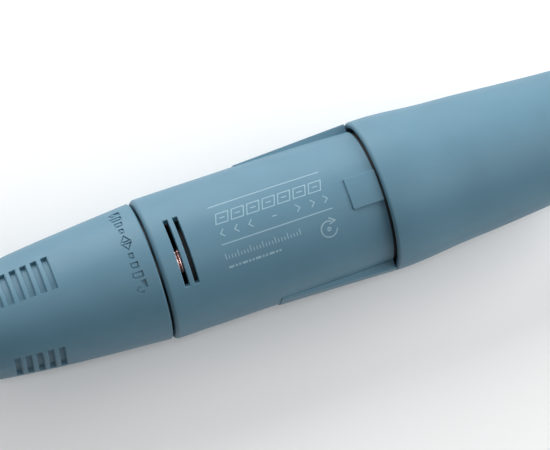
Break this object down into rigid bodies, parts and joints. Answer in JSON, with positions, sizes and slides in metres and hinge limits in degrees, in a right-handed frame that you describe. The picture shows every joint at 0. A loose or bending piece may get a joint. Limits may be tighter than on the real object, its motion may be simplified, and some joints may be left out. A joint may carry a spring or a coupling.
{
  "type": "micromotor handpiece",
  "caption": "Straight laboratory micromotor handpiece: a twist ring opens its collet, a motor in the vented body drives the spindle, and a flared sleeve ends in the cord socket.",
  "frame": {"origin": "centre of the collet's mouth, on the spindle axis", "axes": "+X along the spindle from the nose to the cord, +Z through the middle of the printed panel and the vent slots, +Y through one side fin"},
  "size_m": [0.152, 0.03, 0.03],
  "materials": {
    "shell_plastic": "satin moulded, blue-grey",
    "nose_metal": "bead-blasted and anodised",
    "housing_metal": "turned",
    "hard_steel": "ground",
    "bearing_steel": "lapped",
    "spring_steel": "tempered",
    "fastener_steel": "blackened",
    "brass": "turned",
    "cage_plastic": "phenolic",
    "seal_rubber": "matt",
    "slide_plastic": "smooth",
    "lamination_steel": "stacked laminations",
    "winding_copper": "enamelled wire",
    "magnet": "nickel plated",
    "fan_plastic": "moulded",
    "board": "solder mask",
    "chip": "moulded",
    "carrier_plastic": "moulded",
    "insulator_plastic": "moulded",
    "contact_metal": "gold plated",
    "wire_insulation": "silicone",
    "nut_metal": "anodised"
  },
  "bodies": {
    "housing": {"nose_cap": "nose_metal", "front_dust_seal": "seal_rubber", "slide_washer": "slide_plastic", "spindle_housing": "housing_metal", "housing_o_ring": "seal_rubber", "rear_bearing_carrier": "housing_metal", "bearing_circlip": "spring_steel", "spindle_preload_spring": "spring_steel", "stop_pin": "hard_steel", "spindle_outer_races": "bearing_steel", "outer_spacer": "hard_steel", "motor_front_flange": "housing_metal", "flange_screws": "fastener_steel", "stator_core": "lamination_steel", "stator_coils": "winding_copper", "stator_insulators": "carrier_plastic", "motor_tube": "housing_metal", "motor_outer_races": "bearing_steel", "motor_preload_spring": "spring_steel", "motor_rear_flange": "housing_metal", "sensor_board": "board", "hall_sensors": "chip", "board_screws": "fastener_steel", "phase_leads": "wire_insulation", "body_shell": "shell_plastic", "rear_carrier": "carrier_plastic", "rear_sleeve": "shell_plastic", "socket_insulator": "insulator_plastic", "contact_sockets": "contact_metal", "lead_wires": "wire_insulation", "sleeve_nut": "nut_metal", "rear_o_ring": "seal_rubber"},
    "chuck_ring": {"twist_shell": "shell_plastic", "cam_sleeve": "hard_steel", "cam_keys": "hard_steel"},
    "pusher": {"pusher_ring": "brass", "cam_pins": "hard_steel"},
    "spindle": {"spindle": "hard_steel", "spindle_inner_races": "bearing_steel", "inner_spacer": "hard_steel", "spindle_nut": "hard_steel", "spindle_clip": "spring_steel", "disc_springs": "spring_steel", "driven_coupling": "brass"},
    "collet": {"collet": "hard_steel", "drawbar": "hard_steel", "cross_pin": "hard_steel", "thrust_ring": "brass"},
    "rotor": {"rotor_shaft": "hard_steel", "rotor_magnet": "magnet", "rotor_sleeve": "hard_steel", "balance_rings": "brass", "motor_inner_races": "bearing_steel", "driving_coupling": "brass", "cooling_fan": "fan_plastic", "sensor_magnet": "magnet"},
    "spindle_ball_sets": {"spindle_balls": "bearing_steel", "spindle_cages": "cage_plastic"},
    "motor_ball_sets": {"motor_balls": "bearing_steel", "motor_cages": "cage_plastic"}
  },
  "joints": [
    {"name": "chuck_ring_turn", "type": "hinge", "parent": "housing", "child": "chuck_ring", "pos_m": [0.0374, 0, 0], "axis": [1, 0, 0], "range_deg": [0, 45]},
    {"name": "pusher_slide", "type": "slide", "parent": "housing", "child": "pusher", "axis": [-1, 0, 0], "range_m": [0, 0.0015]},
    {"name": "rotor_spin", "type": "hinge", "parent": "housing", "child": "rotor", "pos_m": [0.075, 0, 0], "axis": [1, 0, 0], "continuous": true},
    {"name": "spindle_spin", "type": "hinge", "parent": "housing", "child": "spindle", "pos_m": [0.015, 0, 0], "axis": [1, 0, 0], "continuous": true},
    {"name": "collet_slide", "type": "slide", "parent": "spindle", "child": "collet", "axis": [-1, 0, 0], "range_m": [0, 0.0012], "deforming": ["disc_springs"]},
    {"name": "spindle_ball_orbit", "type": "hinge", "parent": "housing", "child": "spindle_ball_sets", "pos_m": [0.014, 0, 0], "axis": [1, 0, 0], "continuous": true},
    {"name": "motor_ball_orbit", "type": "hinge", "parent": "housing", "child": "motor_ball_sets", "pos_m": [0.0587, 0, 0], "axis": [1, 0, 0], "continuous": true}
  ],
  "couplings": [
    {"joint": "pusher_slide", "follows": "chuck_ring_turn", "m_per_rad": 0.0019},
    {"joint": "collet_slide", "follows": "chuck_ring_turn", "m_per_rad": 0.00152},
    {"joint": "spindle_spin", "follows": "rotor_spin", "ratio": 1},
    {"joint": "spindle_ball_orbit", "follows": "rotor_spin", "ratio": 0.38889},
    {"joint": "motor_ball_orbit", "follows": "rotor_spin", "ratio": 0.37692}
  ]
}
